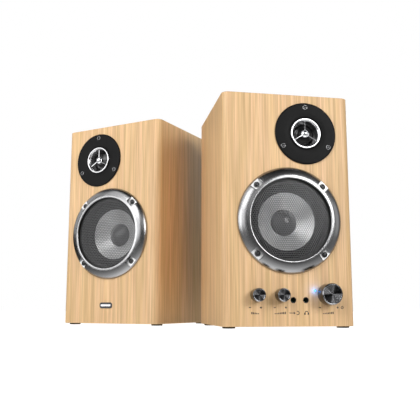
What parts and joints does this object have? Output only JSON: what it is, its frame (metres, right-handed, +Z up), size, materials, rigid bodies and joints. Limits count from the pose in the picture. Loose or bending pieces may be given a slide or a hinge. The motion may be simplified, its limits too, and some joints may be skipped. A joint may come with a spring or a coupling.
{
  "type": "desktop speakers",
  "caption": "Pair of light-wood bookshelf speakers for a desk: an amplified one with front knobs and sockets, and a passive satellite, each with a woofer and a tweeter.",
  "frame": {"origin": "middle of the rectangle round the standing pair, on the desk surface", "axes": "+Z up; -Y the way the active speaker faces; +X to the active speaker's own side of the pair, away from the satellite"},
  "size_m": [0.3413, 0.3548, 0.279],
  "materials": {
    "wood_vinyl": "satin light oak vinyl over fibreboard",
    "black_board": "black painted fibreboard",
    "rubber": "matt",
    "black_plastic": "fine moulded texture",
    "trim_silver": "polished silver",
    "grille_metal": "black perforated steel",
    "basket_steel": "black stoved enamel",
    "screw_steel": "black zinc",
    "ferrite": "sintered ferrite between zinc plates",
    "cone_grey": "silver-grey filled polypropylene",
    "dust_cap_grey": "dark grey, softly glossy",
    "copper": "copper-clad aluminium winding on an aluminium former",
    "spider_cloth": "resin-stiffened cloth",
    "satin_black": "satin",
    "bright_metal": "polished",
    "gloss_black": "gloss",
    "knob_metal": "black nickel plated, spun face",
    "circuit_board": "solder mask",
    "led_blue": "lit, clear blue lens",
    "plate_black": "powder coat",
    "core_steel": "laminated core, varnished",
    "red_plastic": "gloss"
  },
  "bodies": {
    "active": {"active_cabinet": "wood_vinyl", "active_rear_panel": "black_board", "active_trim_ring": "trim_silver", "active_grille": "grille_metal", "active_basket": "basket_steel", "active_woofer_screws": "screw_steel", "active_woofer_magnet": "ferrite", "active_surround": "rubber", "active_spider": "spider_cloth", "active_tweeter_plate": "satin_black", "active_tweeter_screws": "screw_steel", "active_tweeter_horn": "bright_metal", "active_tweeter_motor": "ferrite", "active_port": "black_plastic", "active_terminal": "black_plastic", "active_foot_1": "rubber", "active_foot_2": "rubber", "active_foot_3": "rubber", "active_foot_4": "rubber", "control_board": "circuit_board", "power_led": "led_blue", "amplifier_plate": "plate_black", "amplifier_board": "circuit_board", "transformer": "core_steel", "power_inlet": "black_plastic"},
    "satellite": {"satellite_cabinet": "wood_vinyl", "satellite_rear_panel": "black_board", "satellite_trim_ring": "trim_silver", "satellite_grille": "grille_metal", "satellite_basket": "basket_steel", "satellite_woofer_screws": "screw_steel", "satellite_woofer_magnet": "ferrite", "satellite_surround": "rubber", "satellite_spider": "spider_cloth", "satellite_tweeter_plate": "satin_black", "satellite_tweeter_screws": "screw_steel", "satellite_tweeter_horn": "bright_metal", "satellite_tweeter_motor": "ferrite", "satellite_port": "black_plastic", "satellite_terminal": "black_plastic", "satellite_foot_1": "rubber", "satellite_foot_2": "rubber", "satellite_foot_3": "rubber", "satellite_foot_4": "rubber"},
    "volume_knob": {"volume_knob": "knob_metal"},
    "bass_knob": {"bass_knob": "knob_metal"},
    "treble_knob": {"treble_knob": "knob_metal"},
    "power_rocker": {"power_rocker": "gloss_black"},
    "active_moving_cone": {"active_cone": "cone_grey", "active_dust_cap": "dust_cap_grey", "active_voice_coil": "copper"},
    "active_tweeter_dome": {"active_tweeter_dome": "gloss_black"},
    "active_lever_red": {"active_lever_red": "red_plastic"},
    "active_lever_black": {"active_lever_black": "gloss_black"},
    "satellite_moving_cone": {"satellite_cone": "cone_grey", "satellite_dust_cap": "dust_cap_grey", "satellite_voice_coil": "copper"},
    "satellite_tweeter_dome": {"satellite_tweeter_dome": "gloss_black"},
    "satellite_lever_red": {"satellite_lever_red": "red_plastic"},
    "satellite_lever_black": {"satellite_lever_black": "gloss_black"}
  },
  "joints": [
    {"name": "satellite_spacing", "type": "slide", "parent": "active", "child": "satellite", "axis": [-1, 0, 0], "range_m": [0, 0.1]},
    {"name": "volume_turn", "type": "hinge", "parent": "active", "child": "volume_knob", "pos_m": [0.13669, -0.15861, 0.0389], "axis": [0, 1, 0], "range_deg": [-150, 150]},
    {"name": "bass_turn", "type": "hinge", "parent": "active", "child": "bass_knob", "pos_m": [0.05169, -0.15861, 0.0377], "axis": [0, 1, 0], "range_deg": [-150, 150]},
    {"name": "treble_turn", "type": "hinge", "parent": "active", "child": "treble_knob", "pos_m": [0.08069, -0.15861, 0.0377], "axis": [0, 1, 0], "range_deg": [-150, 150]},
    {"name": "power_rock", "type": "hinge", "parent": "active", "child": "power_rocker", "pos_m": [0.10469, -0.01081, 0.036], "axis": [-1, 0, 0], "range_deg": [0, 20]},
    {"name": "active_cone_travel", "type": "slide", "parent": "active", "child": "active_moving_cone", "axis": [0, -1, 0], "range_m": [-0.003, 0.003], "stiffness_N_per_m": 800, "deforming": ["active_surround", "active_spider"]},
    {"name": "active_dome_travel", "type": "slide", "parent": "active", "child": "active_tweeter_dome", "axis": [0, -1, 0], "range_m": [-0.0002, 0.0002], "stiffness_N_per_m": 50},
    {"name": "satellite_cone_travel", "type": "slide", "parent": "satellite", "child": "satellite_moving_cone", "axis": [-0.6211, -0.7837, 0], "range_m": [-0.003, 0.003], "stiffness_N_per_m": 800, "deforming": ["satellite_surround", "satellite_spider"]},
    {"name": "satellite_dome_travel", "type": "slide", "parent": "satellite", "child": "satellite_tweeter_dome", "axis": [-0.6211, -0.7837, 0], "range_m": [-0.0002, 0.0002], "stiffness_N_per_m": 50},
    {"name": "active_lever_red_press", "type": "hinge", "parent": "active", "child": "active_lever_red", "pos_m": [0.08189, -0.00381, 0.081], "axis": [-1, 0, 0], "range_deg": [0, 20], "stiffness_Nm_per_rad": 0.01},
    {"name": "active_lever_black_press", "type": "hinge", "parent": "active", "child": "active_lever_black", "pos_m": [0.10149, -0.00381, 0.081], "axis": [-1, 0, 0], "range_deg": [0, 20], "stiffness_Nm_per_rad": 0.01},
    {"name": "satellite_lever_red_press", "type": "hinge", "parent": "satellite", "child": "satellite_lever_red", "pos_m": [-0.02466, 0.13678, 0.081], "axis": [-0.7837, 0.6211, 0], "range_deg": [0, 20], "stiffness_Nm_per_rad": 0.01},
    {"name": "satellite_lever_black_press", "type": "hinge", "parent": "satellite", "child": "satellite_lever_black", "pos_m": [-0.0093, 0.12461, 0.081], "axis": [-0.7837, 0.6211, 0], "range_deg": [0, 20], "stiffness_Nm_per_rad": 0.01}
  ]
}
